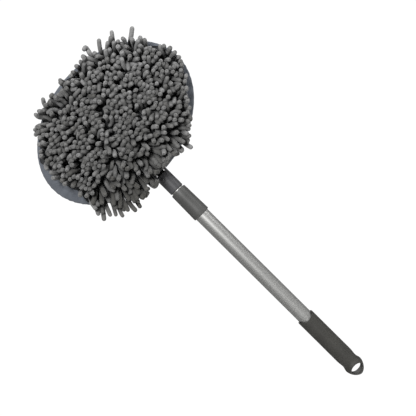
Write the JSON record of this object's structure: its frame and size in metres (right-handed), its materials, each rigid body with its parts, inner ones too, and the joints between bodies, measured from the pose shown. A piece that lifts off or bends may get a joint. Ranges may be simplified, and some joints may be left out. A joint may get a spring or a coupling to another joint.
{
  "type": "chenille duster",
  "caption": "Oval chenille microfibre duster head on a folding neck and a telescopic twist-lock pole with a hand grip and hanging eye.",
  "frame": {"origin": "on the pole's axis, halfway along the hand grip moulding, where a hand holds it", "axes": "+Z along the pole from the grip to the head, -Y out of the chenille face, +X to the right as the face is looked at"},
  "size_m": [0.2544, 0.0641, 0.5941],
  "materials": {
    "grip_plastic": "matte",
    "anodised_tube": "satin",
    "collar_plastic": "satin",
    "neck_plastic": "satin",
    "lock_ring_plastic": "satin",
    "plug_plastic": "satin",
    "plated_steel": "satin",
    "washer_nylon": "satin",
    "plate_plastic": "satin",
    "foam": "matte",
    "knit_backing": "matte",
    "chenille": "matte",
    "band_fabric": "matte",
    "hem_elastic": "matte"
  },
  "bodies": {
    "handle": {"hand_grip": "grip_plastic", "outer_tube": "anodised_tube", "collar": "collar_plastic"},
    "lock_ring": {"cam_ring": "lock_ring_plastic"},
    "pole": {"inner_tube": "anodised_tube", "cam_plug": "plug_plastic", "cam_cap": "plug_plastic", "cap_screw": "plated_steel", "neck_clevis": "neck_plastic", "pivot_bolt": "plated_steel", "pivot_nut": "plated_steel", "friction_washer_right": "washer_nylon", "friction_washer_left": "washer_nylon", "button_spring": "plated_steel"},
    "button": {"release_button": "neck_plastic"},
    "head": {"head_plate": "plate_plastic", "foam_pad": "foam", "chenille_backing": "knit_backing", "chenille_pile": "chenille", "side_band": "band_fabric", "back_panel": "band_fabric", "elastic_hem": "hem_elastic"}
  },
  "joints": [
    {"name": "pole_slide", "type": "slide", "parent": "handle", "child": "lock_ring", "axis": [0, 0, 1], "range_m": [0, 0.22]},
    {"name": "pole_twist", "type": "hinge", "parent": "lock_ring", "child": "pole", "pos_m": [0, 0, 0.31], "axis": [0, 0, 1], "range_deg": [0, 90]},
    {"name": "head_tilt", "type": "hinge", "parent": "pole", "child": "head", "pos_m": [0, 0, 0.34995], "axis": [-1, 0, 0], "range_deg": [0, 90]},
    {"name": "release_button_press", "type": "slide", "parent": "pole", "child": "button", "axis": [0.4226, 0.9063, 0], "range_m": [0, 0.0026], "stiffness_N_per_m": 400, "springref_m": -0.003, "deforming": ["button_spring"]}
  ]
}
